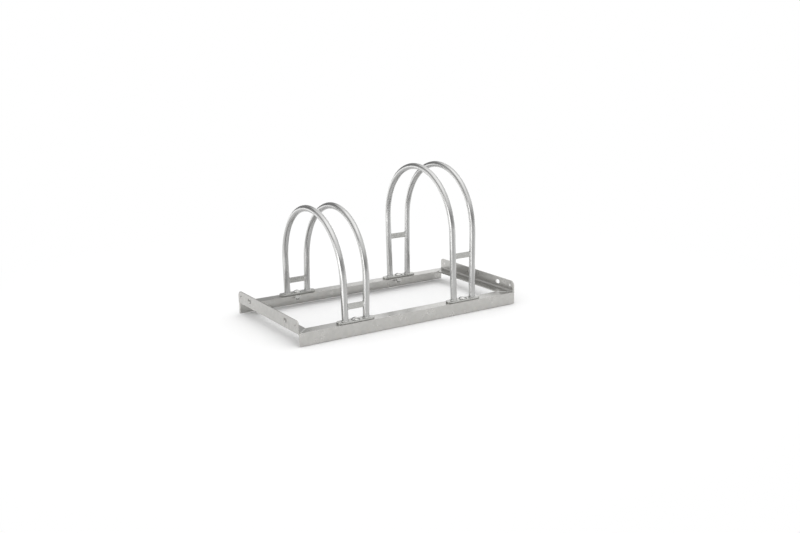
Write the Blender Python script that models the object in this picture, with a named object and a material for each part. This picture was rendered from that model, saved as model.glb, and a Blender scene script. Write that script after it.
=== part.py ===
"""Bike parking stand for two wheels, hot-dip galvanised steel: a ground frame of four mitred angle
sections, and two pairs of tube arches bolted to it, one pair low and one pair high.

Units are metres, +Z is up, the ground is z = 0 and the frame is centred on the origin.
X runs along the row of wheels and Y along the wheels. The front is -Y.
"""
import math

import bmesh
import bpy
from mathutils import Matrix, Vector

# Ground frame
FRAME_LENGTH = 0.700
FRAME_DEPTH = 0.385
ANGLE_HEIGHT = 0.0355
ANGLE_WIDTH = 0.0375
ANGLE_THICKNESS = 0.003
HEEL_RADIUS = 0.0015
ROOT_RADIUS = 0.0045
TOE_RADIUS = 0.001
UPRIGHT_CORNER_RADIUS = 0.015

# Slots and holes in the end uprights, for joining stands in a row
JOIN_SLOT_LENGTH = 0.019
JOIN_SLOT_HEIGHT = 0.0125
JOIN_SLOT_INSET = 0.078
PIN_HOLE_DIAMETER = 0.0075
PIN_HOLE_INSET = 0.0185
HOLE_DROP = 0.015

# Tube arches, with heights counted from the top of the frame
WHEEL_SPACING = 0.350
TUBE_DIAMETER = 0.018
TUBE_WALL = 0.002
TUBE_INSET = 0.0175
FOOT_SPACING = 0.063
TOP_SPACING = 0.076
LOW_LEG_HEIGHT = 0.1075
HIGH_LEG_HEIGHT = 0.197

# Flat bars that carry the wheel between the two tubes of a pair
BAR_HEIGHT = 0.016
BAR_THICKNESS = 0.005
BAR_EDGE_RADIUS = 0.0008
LOW_BAR_CENTRE = 0.043
HIGH_BAR_CENTRE = 0.1325

# Foot plates under the tubes
PLATE_WIDTH = 0.025
PLATE_THICKNESS = 0.005
PLATE_OVERHANG = 0.0245
PLATE_EDGE_RADIUS = 0.0006

# Cup-head square-neck bolts, one for each foot plate
BOLT_DIAMETER = 0.010
BOLT_NECK_WIDTH = 0.0104
BOLT_LENGTH = 0.025
BOLT_HEAD_DIAMETER = 0.024
BOLT_HEAD_HEIGHT = 0.0055
BOLT_HEAD_RIM = 0.0012
BOLT_POINT = 0.001
NUT_WIDTH = 0.017
NUT_HEIGHT = 0.008
NUT_FACE_DIAMETER = 0.0162
NUT_CHAMFER = math.radians(30)
WASHER_DIAMETER = 0.020
WASHER_THICKNESS = 0.002

# Clearances
WELD_GAP = 0.0003
SEAT_GAP = 0.0003
BOLT_CLEARANCE = 0.0005
NECK_CLEARANCE = 0.0003
THREAD_CLEARANCE = 0.0003

# Facets
TUBE_SIDES = 16
ARC_STEPS = 24
FILLET_STEPS = 3
CORNER_STEPS = 6
PLATE_END_STEPS = 12
SLOT_END_STEPS = 8
ROUND_SIDES = 24
HEAD_STEPS = 4
SMOOTH_ANGLE = math.radians(35)

PLATE_TOP = ANGLE_HEIGHT + SEAT_GAP + PLATE_THICKNESS
FOOT_Z = PLATE_TOP + WELD_GAP
ARCH_RADIUS = FRAME_DEPTH / 2 - TUBE_INSET


def clear_scene():
    for obj in list(bpy.data.objects):
        bpy.data.objects.remove(obj, do_unlink=True)


def steel(name, colour, roughness):
    material = bpy.data.materials.new(name)
    material.use_nodes = True
    shader = material.node_tree.nodes["Principled BSDF"]
    shader.inputs["Base Color"].default_value = (*colour, 1)
    shader.inputs["Metallic"].default_value = 1
    shader.inputs["Roughness"].default_value = roughness
    return material


def mesh_from(bm, name):
    bmesh.ops.recalc_face_normals(bm, faces=bm.faces)
    mesh = bpy.data.meshes.new(name)
    bm.to_mesh(mesh)
    bm.free()
    return mesh


def place(name, mesh, material, location=(0, 0, 0), turn=0):
    """A copy of the mesh as an object of its own, turned about Z."""
    mesh = mesh.copy()
    mesh.name = name
    mesh.materials.clear()
    mesh.materials.append(material)
    mesh.shade_smooth()
    mesh.set_sharp_from_angle(angle=SMOOTH_ANGLE)
    obj = bpy.data.objects.new(name, mesh)
    obj.location = location
    obj.rotation_euler.z = turn
    bpy.context.scene.collection.objects.link(obj)
    return obj


def with_modifiers(mesh, modifiers):
    """The mesh after its modifiers, each given as its type and its settings."""
    helper = bpy.data.objects.new("helper", mesh)
    bpy.context.scene.collection.objects.link(helper)
    for kind, settings in modifiers:
        modifier = helper.modifiers.new(kind.title(), kind)
        for key, value in settings.items():
            setattr(modifier, key, value)
    graph = bpy.context.evaluated_depsgraph_get()
    result = bpy.data.meshes.new_from_object(helper.evaluated_get(graph))
    bpy.data.objects.remove(helper)
    return result


def boolean(mesh, cutters, operation="DIFFERENCE"):
    """The mesh after a Boolean with each cutter mesh in turn."""
    guides = [bpy.data.objects.new("cutter", cutter) for cutter in cutters]
    for guide in guides:
        guide.hide_render = True
        guide.display_type = "WIRE"
        bpy.context.scene.collection.objects.link(guide)
    steps = [("BOOLEAN", {"operation": operation, "object": guide}) for guide in guides]
    result = with_modifiers(mesh, steps)
    for guide in guides:
        bpy.data.objects.remove(guide)
    return result


def arc(centre, radius, start, end, steps):
    """Points on an arc, with its angles in degrees."""
    points = []
    for i in range(steps + 1):
        angle = math.radians(start + (end - start) * i / steps)
        points.append((centre[0] + radius * math.cos(angle), centre[1] + radius * math.sin(angle)))
    return points


def round_ended(length, width, steps):
    """The outline of a strip with round ends, along its first coordinate and centred on 0."""
    radius = width / 2
    straight = length / 2 - radius
    outline = arc((straight, 0), radius, -90, 90, steps)
    outline += arc((-straight, 0), radius, 90, 270, steps)
    return outline


def prism(name, outline, axis, start, end):
    """An outline extruded along X, Y or Z. The outline holds the two other coordinates, in order."""
    bm = bmesh.new()
    corners = []
    for point in outline:
        place_at = list(point)
        place_at.insert("XYZ".index(axis), start)
        corners.append(bm.verts.new(place_at))
    face = bm.faces.new(corners)
    sweep = Vector([end - start if letter == axis else 0 for letter in "XYZ"])
    extruded = bmesh.ops.extrude_face_region(bm, geom=[face])["geom"]
    moved = [item for item in extruded if isinstance(item, bmesh.types.BMVert)]
    bmesh.ops.translate(bm, verts=moved, vec=sweep)
    return mesh_from(bm, name)


def join_rings(bm, first, second):
    count = len(first)
    for k in range(count):
        bm.faces.new((first[k], first[(k + 1) % count], second[(k + 1) % count], second[k]))


def ring(bm, radius, height):
    """A ring of vertices about Z. Its radius is a length, or a function of the angle."""
    verts = []
    for k in range(ROUND_SIDES):
        angle = math.tau * k / ROUND_SIDES
        reach = radius(angle) if callable(radius) else radius
        verts.append(bm.verts.new((reach * math.cos(angle), reach * math.sin(angle), height)))
    return verts


def cap(bm, verts, height):
    """A fan of faces from a ring to a point on the Z axis."""
    pole = bm.verts.new((0, 0, height))
    for first, second in zip(verts, verts[1:] + verts[:1]):
        bm.faces.new((first, second, pole))


def turned(name, profile, poles=None):
    """A solid about Z from (radius, height) rings. It is closed by two poles, or by a bore."""
    bm = bmesh.new()
    rings = [ring(bm, radius, height) for radius, height in profile]
    for first, second in zip(rings, rings[1:]):
        join_rings(bm, first, second)
    if poles:
        cap(bm, rings[0], poles[0])
        cap(bm, rings[-1], poles[1])
    else:
        join_rings(bm, rings[-1], rings[0])
    return mesh_from(bm, name)


def cylinder(name, diameter, axis, centre, length, sides=ROUND_SIDES):
    """A closed cylinder about an axis, used to bore a hole."""
    bm = bmesh.new()
    radius = diameter / 2
    bmesh.ops.create_cone(
        bm, cap_ends=True, segments=sides, radius1=radius, radius2=radius, depth=length
    )
    facing = Vector([letter == axis for letter in "XYZ"])
    turn = facing.to_track_quat("Z", "Y").to_matrix().to_4x4()
    bmesh.ops.transform(bm, matrix=Matrix.Translation(centre) @ turn, verts=bm.verts)
    return mesh_from(bm, name)


def angle_outline(upright):
    """The section of an angle as (distance in from the outer face, height) points.

    The flange lies at the top of the frame, and the other leg goes down, or up on an end piece.
    """
    top = ANGLE_HEIGHT
    under = top - ANGLE_THICKNESS
    outline = arc((HEEL_RADIUS, top - HEEL_RADIUS), HEEL_RADIUS, 180, 90, FILLET_STEPS)
    outline += [(ANGLE_WIDTH, top)]
    outline += arc((ANGLE_WIDTH - TOE_RADIUS, under + TOE_RADIUS), TOE_RADIUS, 0, -90, FILLET_STEPS)
    root = (ANGLE_THICKNESS + ROOT_RADIUS, under - ROOT_RADIUS)
    outline += arc(root, ROOT_RADIUS, 90, 180, FILLET_STEPS)
    outline += arc((ANGLE_THICKNESS - TOE_RADIUS, TOE_RADIUS), TOE_RADIUS, 0, -90, FILLET_STEPS)
    outline += [(0, 0)]
    if upright:
        outline = [(inward, top + under - height) for inward, height in outline]
    return outline


def mitred_angle(name, half_length, upright):
    """An angle along X with its outer face at y = 0 and its flange towards +Y, mitred at both ends."""
    outline = angle_outline(upright)
    mesh = prism(name, outline, "X", -half_length, half_length)
    set_back = WELD_GAP / math.sqrt(2)
    for vert in mesh.vertices:
        cut = half_length - vert.co.y - set_back
        vert.co.x = math.copysign(cut, vert.co.x)
    return mesh


def rail_mesh():
    """The front rail, its outer face at y = 0: it stands on its lower leg and is drilled for bolts."""
    rail = mitred_angle("rail", FRAME_LENGTH / 2, upright=False)
    bolt_hole = BOLT_DIAMETER + 2 * BOLT_CLEARANCE
    holes = [
        cylinder("hole", bolt_hole, "Z", (x, TUBE_INSET, ANGLE_HEIGHT), 4 * ANGLE_THICKNESS)
        for x in (-WHEEL_SPACING / 2, WHEEL_SPACING / 2)
    ]
    return boolean(rail, holes)


def corner_cutter(half_length, top):
    """What is taken off the square top corner of an upright at its +X end."""
    radius = UPRIGHT_CORNER_RADIUS
    spare = ANGLE_THICKNESS
    centre = (half_length - radius, top - radius)
    outline = arc(centre, radius, 0, 90, CORNER_STEPS)
    outline += [
        (centre[0], top + spare),
        (half_length + spare, top + spare),
        (half_length + spare, centre[1]),
    ]
    return prism("corner", outline, "Y", -spare, 3 * spare)


def end_mesh():
    """The left end piece, its outer face at y = 0: its upright has rounded corners, two slots and two holes."""
    half_length = FRAME_DEPTH / 2
    top = 2 * ANGLE_HEIGHT - ANGLE_THICKNESS
    end = mitred_angle("end", half_length, upright=True)
    right_corner = corner_cutter(half_length, top)
    left_corner = right_corner.copy()
    left_corner.transform(Matrix.Rotation(math.pi, 4, "Z"))
    left_corner.transform(Matrix.Translation((0, 2 * ANGLE_THICKNESS, 0)))
    cutters = [right_corner, left_corner]
    for side in (-1, 1):
        middle = side * (half_length - JOIN_SLOT_INSET)
        outline = round_ended(JOIN_SLOT_LENGTH, JOIN_SLOT_HEIGHT, SLOT_END_STEPS)
        outline = [(middle + along, top - HOLE_DROP + up) for along, up in outline]
        cutters.append(prism("slot", outline, "Y", -2 * ANGLE_THICKNESS, 2 * ANGLE_THICKNESS))
        centre = (side * (half_length - PIN_HOLE_INSET), 0, top - HOLE_DROP)
        cutters.append(cylinder("hole", PIN_HOLE_DIAMETER, "Y", centre, 4 * ANGLE_THICKNESS))
    return boolean(end, cutters)


def apex_height(leg_height):
    """The height of an arch's centreline at its top, above the top of the frame, along the arch."""
    return leg_height + ARCH_RADIUS


def lean(leg_height):
    """The angle by which each arch of a pair leans outwards."""
    return math.asin((TOP_SPACING - FOOT_SPACING) / 2 / apex_height(leg_height))


def arch_path(leg_height):
    """The centreline of an upright arch in Y and Z, as (y, z, angle of the tube's section)."""
    foot = FOOT_Z - ANGLE_HEIGHT
    path = [(-ARCH_RADIUS, foot, math.pi)]
    for i in range(ARC_STEPS + 1):
        angle = math.pi * (1 - i / ARC_STEPS)
        y = ARCH_RADIUS * math.cos(angle)
        path.append((y, leg_height + ARCH_RADIUS * math.sin(angle), angle))
    path.append((ARCH_RADIUS, foot, 0))
    return path


def arch_mesh(leg_height):
    """A tube arch over Y that leans towards -X, its feet cut level, its origin at the frame's top."""
    bm = bmesh.new()
    tilt = Matrix.Rotation(-lean(leg_height), 3, "Y")
    path = arch_path(leg_height)
    walls = []
    for radius in (TUBE_DIAMETER / 2, TUBE_DIAMETER / 2 - TUBE_WALL):
        rings = []
        for y, z, angle in path:
            ring = []
            for k in range(TUBE_SIDES):
                turn = math.tau * k / TUBE_SIDES
                side, out = radius * math.sin(turn), radius * math.cos(turn)
                point = Vector((side, y + out * math.cos(angle), z + out * math.sin(angle)))
                ring.append(bm.verts.new(tilt @ point))
            rings.append(ring)
        walls.append(rings)
    foot_level = FOOT_Z - ANGLE_HEIGHT
    slope = math.tan(lean(leg_height))
    for rings in walls:
        for vert in rings[0] + rings[-1]:
            vert.co.x -= (foot_level - vert.co.z) * slope
            vert.co.z = foot_level
        for first, second in zip(rings, rings[1:]):
            join_rings(bm, first, second)
    join_rings(bm, walls[0][0], walls[1][0])
    join_rings(bm, walls[0][-1], walls[1][-1])
    return mesh_from(bm, "arch")


def bar_mesh(leg_height, centre):
    """A flat bar between the two tubes of a pair, centred on x = 0, its ends cut along the tubes."""
    angle = lean(leg_height)
    ends = []
    for height in (centre - BAR_HEIGHT / 2, centre + BAR_HEIGHT / 2):
        axis_x = FOOT_SPACING / 2 + height * math.tan(angle)
        ends.append((axis_x - (TUBE_DIAMETER / 2 + WELD_GAP) / math.cos(angle), height))
    outline = ends + [(-x, height) for x, height in reversed(ends)]
    bar = prism("bar", outline, "Y", -BAR_THICKNESS / 2, BAR_THICKNESS / 2)
    return with_modifiers(bar, [("BEVEL", {"width": BAR_EDGE_RADIUS, "segments": 2})])


def plate_mesh():
    """A foot plate with round ends and a square hole for the bolt's neck, resting at z = 0."""
    outline = round_ended(FOOT_SPACING + 2 * PLATE_OVERHANG, PLATE_WIDTH, PLATE_END_STEPS)
    plate = prism("plate", outline, "Z", 0, PLATE_THICKNESS)
    plate = with_modifiers(plate, [("BEVEL", {"width": PLATE_EDGE_RADIUS, "segments": 1})])
    half = BOLT_NECK_WIDTH / 2 + NECK_CLEARANCE
    square = [(-half, -half), (half, -half), (half, half), (-half, half)]
    hole = prism("hole", square, "Z", -PLATE_THICKNESS, 2 * PLATE_THICKNESS)
    return boolean(plate, [hole])


def bolt_mesh():
    """A cup-head bolt with a square neck, with the underside of its head at z = 0."""
    head = BOLT_HEAD_DIAMETER / 2
    dome = BOLT_HEAD_HEIGHT - BOLT_HEAD_RIM
    shank = BOLT_DIAMETER / 2

    def square(angle):
        return BOLT_NECK_WIDTH / 2 / max(abs(math.cos(angle)), abs(math.sin(angle)))

    profile = []
    for i in range(1, HEAD_STEPS + 1):
        angle = math.pi / 2 * i / HEAD_STEPS
        profile.append((head * math.sin(angle), BOLT_HEAD_RIM + dome * math.cos(angle)))
    profile += [
        (head, 0),
        (square, 0),
        (square, -PLATE_THICKNESS),
        (shank, -PLATE_THICKNESS),
        (shank, -BOLT_LENGTH + BOLT_POINT),
        (shank - BOLT_POINT, -BOLT_LENGTH),
    ]
    return turned("bolt", profile, (BOLT_HEAD_HEIGHT, -BOLT_LENGTH))


def washer_mesh():
    """A flat washer with its top at z = 0."""
    bore = BOLT_DIAMETER / 2 + BOLT_CLEARANCE
    outer = WASHER_DIAMETER / 2
    profile = [(bore, 0), (outer, 0), (outer, -WASHER_THICKNESS), (bore, -WASHER_THICKNESS)]
    return turned("washer", profile)


def nut_mesh():
    """A hexagon nut with chamfered corners, with its top at z = 0."""
    bore = BOLT_DIAMETER / 2 + THREAD_CLEARANCE
    face = NUT_FACE_DIAMETER / 2
    bm = bmesh.new()

    def hexagon(angle):
        from_flat = (angle + math.pi / 6) % (math.pi / 3) - math.pi / 6
        return NUT_WIDTH / 2 / math.cos(from_flat)

    top = ring(bm, hexagon, 0)
    bottom = ring(bm, hexagon, -NUT_HEIGHT)
    for verts, away in ((top, -1), (bottom, 1)):
        for vert in verts:
            vert.co.z += away * (vert.co.xy.length - face) * math.tan(NUT_CHAMFER)
    rings = [ring(bm, bore, 0), ring(bm, face, 0), top, bottom]
    rings += [ring(bm, face, -NUT_HEIGHT), ring(bm, bore, -NUT_HEIGHT)]
    for first, second in zip(rings, rings[1:] + rings[:1]):
        join_rings(bm, first, second)
    return mesh_from(bm, "nut")


def build_frame(zinc):
    rail = rail_mesh()
    end = end_mesh()
    half_length, half_depth = FRAME_LENGTH / 2, FRAME_DEPTH / 2
    place("front_rail", rail, zinc, (0, -half_depth, 0), 0)
    place("rear_rail", rail, zinc, (0, half_depth, 0), math.pi)
    place("left_end_angle", end, zinc, (-half_length, 0, 0), -math.pi / 2)
    place("right_end_angle", end, zinc, (half_length, 0, 0), math.pi / 2)


def build_holder(name, x, leg_height, bar_centre, tube_zinc, bar_zinc):
    """A pair of arches with its two wheel bars."""
    arch = arch_mesh(leg_height)
    bar = bar_mesh(leg_height, bar_centre)
    half = FOOT_SPACING / 2
    place(f"{name}_arch_left", arch, tube_zinc, (x - half, 0, ANGLE_HEIGHT), 0)
    place(f"{name}_arch_right", arch, tube_zinc, (x + half, 0, ANGLE_HEIGHT), math.pi)
    for row, y in (("front", -ARCH_RADIUS), ("rear", ARCH_RADIUS)):
        place(f"{name}_{row}_wheel_bar", bar, bar_zinc, (x, y, ANGLE_HEIGHT))


def build_feet(name, x, plate_zinc, bolt_zinc):
    """The foot plates of a pair of arches, with their bolts, washers and nuts."""
    under_frame = ANGLE_HEIGHT - ANGLE_THICKNESS - SEAT_GAP
    under_washer = under_frame - WASHER_THICKNESS - SEAT_GAP
    pieces = (
        ("foot_plate", plate_mesh(), plate_zinc, ANGLE_HEIGHT + SEAT_GAP),
        ("bolt", bolt_mesh(), bolt_zinc, PLATE_TOP + SEAT_GAP),
        ("washer", washer_mesh(), bolt_zinc, under_frame),
        ("nut", nut_mesh(), bolt_zinc, under_washer),
    )
    for row, y in (("front", -ARCH_RADIUS), ("rear", ARCH_RADIUS)):
        for piece, mesh, material, z in pieces:
            place(f"{name}_{row}_{piece}", mesh, material, (x, y, z))


def main():
    clear_scene()
    angle_zinc = steel("galvanised_angle", (0.52, 0.53, 0.52), 0.38)
    tube_zinc = steel("galvanised_tube", (0.62, 0.63, 0.63), 0.22)
    plate_zinc = steel("galvanised_flat_steel", (0.50, 0.51, 0.50), 0.35)
    bolt_zinc = steel("zinc_plated_bolt", (0.70, 0.71, 0.70), 0.20)
    build_frame(angle_zinc)
    holders = (
        ("low", -WHEEL_SPACING / 2, LOW_LEG_HEIGHT, LOW_BAR_CENTRE),
        ("high", WHEEL_SPACING / 2, HIGH_LEG_HEIGHT, HIGH_BAR_CENTRE),
    )
    for name, x, leg_height, bar_centre in holders:
        build_holder(name, x, leg_height, bar_centre, tube_zinc, plate_zinc)
        build_feet(name, x, plate_zinc, bolt_zinc)


main()
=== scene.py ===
import math
from itertools import product

import bmesh
import bpy
from mathutils import Matrix, Vector


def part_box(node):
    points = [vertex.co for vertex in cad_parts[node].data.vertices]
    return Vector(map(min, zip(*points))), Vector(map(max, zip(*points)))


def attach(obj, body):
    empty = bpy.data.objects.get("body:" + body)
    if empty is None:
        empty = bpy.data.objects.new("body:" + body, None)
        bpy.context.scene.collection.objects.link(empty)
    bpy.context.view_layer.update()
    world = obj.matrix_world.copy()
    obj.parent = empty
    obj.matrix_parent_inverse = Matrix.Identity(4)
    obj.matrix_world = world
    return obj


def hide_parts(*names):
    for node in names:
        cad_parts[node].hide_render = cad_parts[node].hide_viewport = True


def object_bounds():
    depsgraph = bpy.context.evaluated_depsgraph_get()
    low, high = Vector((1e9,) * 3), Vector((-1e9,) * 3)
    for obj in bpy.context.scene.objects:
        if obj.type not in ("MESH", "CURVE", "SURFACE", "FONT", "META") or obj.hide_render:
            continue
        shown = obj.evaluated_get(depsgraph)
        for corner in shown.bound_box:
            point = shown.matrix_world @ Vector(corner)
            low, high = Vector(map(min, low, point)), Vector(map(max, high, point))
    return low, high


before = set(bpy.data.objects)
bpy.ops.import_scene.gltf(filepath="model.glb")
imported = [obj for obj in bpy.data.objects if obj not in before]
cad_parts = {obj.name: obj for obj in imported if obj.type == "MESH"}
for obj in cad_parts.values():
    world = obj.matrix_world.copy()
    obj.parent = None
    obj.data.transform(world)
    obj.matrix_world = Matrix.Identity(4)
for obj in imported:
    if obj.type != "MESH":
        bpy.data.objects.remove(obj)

cad_low, cad_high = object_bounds()

# Camera
# It is in front of the stand and to its left, and looks slightly down on it. Its place is in metres, its
# bearing and dip are in degrees and its lens in millimetres, all fitted to the photograph.
CAMERA_PLACE = (-1.3933, -2.3883, 0.7848)
CAMERA_BEARING = 36.37
CAMERA_DIP = 10.66
CAMERA_LENS = 43.86
CAMERA_SHIFT = (-0.10, -0.06)
SENSOR_WIDTH = 36

camera_data = bpy.data.cameras.new("camera")
camera_data.sensor_width = SENSOR_WIDTH
camera_data.lens = CAMERA_LENS
camera_data.shift_x, camera_data.shift_y = CAMERA_SHIFT
camera = bpy.data.objects.new("camera", camera_data)
bpy.context.scene.collection.objects.link(camera)
camera.location = CAMERA_PLACE
camera.rotation_euler = (math.radians(90 - CAMERA_DIP), 0, math.radians(-CAMERA_BEARING))
bpy.context.scene.camera = camera
bpy.context.scene.view_settings.view_transform = "Standard"

# Floor
# White satin paint that takes the shadow near the stand. Further out it glows until it is plain white,
# and in what the steel mirrors that glow is painted light and shade, dimmer in front of the stand and
# brighter behind it. At a low angle its satin mirrors the tent, which only the bright steel sees.
PAINT = "#FFFFFF"
# The steel mirrors the paint slightly darker than the camera sees it,
# a painted shade that only reflections show.
SHADED_MIRRORED_PAINT = "#FAFAFA"
PAINT_ROUGHNESS = 0.9
SATIN_ROUGHNESS = 0.10
SATIN_IOR = 1.5
FLOOR_SIZE = 60
SHADOW_REACH = 0.55
WHITE_FROM = 1.4
# The glow that the steel mirrors is painted light and shade: dimmer in front of the stand, brighter
# behind.
FRONT_GLOW = 0.7
BACK_GLOW = 1.75
# It lies this little below the rails, which leaves a thin dark line under them.
FLOOR_DROP = 0.0012
# For the steel alone, a strip of it left of here glows, a painted pool of light as if a low lamp lit it.
# The legs mirror that as their brightest streak.
STRIP_FROM = -0.42
STRIP_MIDDLE = -0.42
STRIP_HALF = 0.14
STRIP_EDGE = 0.06
STRIP_GLOW = 1.5
WHITE_LIGHT = (1, 1, 1, 1)


def linear(hex_colour):
    """An sRGB hex colour as the linear RGBA that the nodes take."""
    channels = [int(hex_colour[i:i + 2], 16) / 255 for i in (1, 3, 5)]
    return [c / 12.92 if c <= 0.04045 else ((c + 0.055) / 1.055) ** 2.4 for c in channels] + [1]


def add_node(tree, kind, inputs=None, **settings):
    """A new node with its settings, and with its sockets set to values or linked to other sockets."""
    node = tree.nodes.new(kind)
    for key, value in settings.items():
        setattr(node, key, value)
    for key, value in (inputs or {}).items():
        if isinstance(value, bpy.types.NodeSocket):
            tree.links.new(value, node.inputs[key])
        else:
            node.inputs[key].default_value = value
    return node


def new_material(name):
    """A material with its node tree and its Principled BSDF."""
    material = bpy.data.materials.new(name)
    material.use_nodes = True
    return material, material.node_tree, material.node_tree.nodes["Principled BSDF"]


def seen_directly(tree):
    """1 for the camera's rays and for those that a reflection or a clear material sends on."""
    path = add_node(tree, "ShaderNodeLightPath")
    seen = path.outputs["Is Camera Ray"]
    for kind in ("Is Glossy Ray", "Is Transmission Ray"):
        either = add_node(tree, "ShaderNodeMath", {0: seen, 1: path.outputs[kind]}, operation="MAXIMUM")
        seen = either.outputs[0]
    return seen


bpy.ops.object.select_all(action="DESELECT")
bpy.ops.mesh.primitive_plane_add(size=FLOOR_SIZE, location=(0, 0, -FLOOR_DROP))
floor = bpy.context.object
floor.name = "floor"
paint, tree, shader = new_material("satin_white_floor")
path = add_node(tree, "ShaderNodeLightPath")
in_mirrors = path.outputs["Is Glossy Ray"]
place_on_floor = add_node(tree, "ShaderNodeTexCoord").outputs["Object"]
# For the steel's reflections the paint carries a painted shade.
white = add_node(tree, "ShaderNodeMix", {0: in_mirrors, 6: linear(PAINT), 7: linear(SHADED_MIRRORED_PAINT)},
                 data_type="RGBA")
tree.links.new(white.outputs[2], shader.inputs["Base Color"])
shader.inputs["Roughness"].default_value = PAINT_ROUGHNESS
shader.inputs["Specular IOR Level"].default_value = 0

distance = add_node(tree, "ShaderNodeVectorMath", {0: place_on_floor}, operation="LENGTH")
outer = add_node(tree, "ShaderNodeMapRange",
                 {0: distance.outputs["Value"], 1: SHADOW_REACH, 2: WHITE_FROM},
                 interpolation_type="SMOOTHSTEP")
lit_share = add_node(tree, "ShaderNodeMath", {0: outer.outputs[0], 1: seen_directly(tree)},
                     operation="MULTIPLY")
outwards = add_node(tree, "ShaderNodeVectorMath", {0: place_on_floor}, operation="NORMALIZE")
outwards = add_node(tree, "ShaderNodeSeparateXYZ", {0: outwards.outputs[0]})
# Painted light and shade for the steel's reflections: the glow is dimmer in front of the stand and
# brighter behind.
uneven = add_node(tree, "ShaderNodeMapRange",
                  {0: outwards.outputs["Y"], 1: -1.0, 2: 1.0, 3: FRONT_GLOW, 4: BACK_GLOW})
glow = add_node(tree, "ShaderNodeMix", {0: path.outputs["Is Camera Ray"], 2: uneven.outputs[0], 3: 1.0})
glow = add_node(tree, "ShaderNodeEmission", {"Color": WHITE_LIGHT, "Strength": glow.outputs[0]})
surface = add_node(tree, "ShaderNodeMixShader",
                   {0: lit_share.outputs[0], 1: shader.outputs[0], 2: glow.outputs[0]})

grazing = add_node(tree, "ShaderNodeFresnel", {"IOR": SATIN_IOR})
grazing = add_node(tree, "ShaderNodeMath", {0: grazing.outputs[0], 1: in_mirrors}, operation="MULTIPLY")
satin = add_node(tree, "ShaderNodeBsdfAnisotropic", {"Color": WHITE_LIGHT, "Roughness": SATIN_ROUGHNESS})
satin = add_node(tree, "ShaderNodeMixShader", {0: grazing.outputs[0], 2: satin.outputs[0]})
surface = add_node(tree, "ShaderNodeAddShader", {0: surface.outputs[0], 1: satin.outputs[0]})

on_floor = add_node(tree, "ShaderNodeSeparateXYZ", {0: place_on_floor})
# The strip is a painted pool of light on the floor, which only the steel's reflections see.
strip = add_node(tree, "ShaderNodeMapRange",
                 {0: on_floor.outputs["X"], 1: STRIP_FROM, 2: STRIP_FROM - STRIP_EDGE})
off = add_node(tree, "ShaderNodeMath", {0: on_floor.outputs["Y"], 1: STRIP_MIDDLE}, operation="SUBTRACT")
off = add_node(tree, "ShaderNodeMath", {0: off.outputs[0]}, operation="ABSOLUTE")
off = add_node(tree, "ShaderNodeMapRange",
               {0: off.outputs[0], 1: STRIP_HALF + STRIP_EDGE, 2: STRIP_HALF})
for factor in (off.outputs[0], in_mirrors, STRIP_GLOW):
    strip = add_node(tree, "ShaderNodeMath", {0: strip.outputs[0], 1: factor}, operation="MULTIPLY")
strip = add_node(tree, "ShaderNodeEmission", {"Color": WHITE_LIGHT, "Strength": strip.outputs[0]})
surface = add_node(tree, "ShaderNodeAddShader", {0: surface.outputs[0], 1: strip.outputs[0]})
tree.links.new(surface.outputs[0], tree.nodes["Material Output"].inputs["Surface"])
floor.data.materials.append(paint)

# Tent and soft box
# A tent of white cloth, lit from outside, with one large soft box hung above the stand. The bright steel
# mirrors the cloth, the panels in it and the gaps between them, which draw the streaks on the tubes.
CLOTH = 1.3
# Each panel is given by its bearing and rise, its half width and half height, all in degrees, and by how
# bright it is. Bearings are counted from straight behind the stand, to the right.
PANEL_EDGE = 5.0
PANELS = {
    "roof": (0, 90, 181, 30, 1.7),
    "left bank": (-94, 11, 30, 9, 1.5),
    "left lamp": (-98, 8, 9, 8, 4.5),
    "gap above the left bank": (-65, 33, 46, 9, 0.55),
    "gap behind": (-5, 16, 32, 22, 0.35),
    "opening for the camera": (-155, 14, 30, 12, 0.35),
    "cloth right of the camera": (150, 14, 26, 12, 0.6),
}
# The cloth's soft light on the floor is a little stronger from the left and from the front.
SOFT_LIGHT = 0.975
FROM_LEFT = 0.10
FROM_FRONT = 0.12
SOFT_BOX_PLACE = (-0.2, -0.3, 2.7)
SOFT_BOX_SIZE = 3.0
SOFT_BOX_WATTS = 9

world = bpy.data.worlds.new("studio")
bpy.context.scene.world = world
world.use_nodes = True
tree = world.node_tree
tree.nodes.clear()
direction = add_node(tree, "ShaderNodeTexCoord").outputs["Generated"]
towards = add_node(tree, "ShaderNodeSeparateXYZ", {0: direction}).outputs
bearing = add_node(tree, "ShaderNodeMath", {0: towards["X"], 1: towards["Y"]}, operation="ARCTAN2")
bearing = add_node(tree, "ShaderNodeMath", {0: bearing.outputs[0]}, operation="DEGREES")
rise = add_node(tree, "ShaderNodeMath", {0: towards["Z"]}, operation="ARCSINE")
rise = add_node(tree, "ShaderNodeMath", {0: rise.outputs[0]}, operation="DEGREES")


def within(angle, middle, half):
    """1 where the angle is within half of the middle, and 0 past a soft edge."""
    off = add_node(tree, "ShaderNodeMath", {0: angle, 1: middle}, operation="SUBTRACT")
    off = add_node(tree, "ShaderNodeMath", {0: off.outputs[0], 1: 180.0, 2: -180.0}, operation="WRAP")
    off = add_node(tree, "ShaderNodeMath", {0: off.outputs[0]}, operation="ABSOLUTE")
    return add_node(tree, "ShaderNodeMapRange",
                    {0: off.outputs[0], 1: half + PANEL_EDGE / 2, 2: half - PANEL_EDGE / 2},
                    interpolation_type="SMOOTHSTEP")


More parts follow.
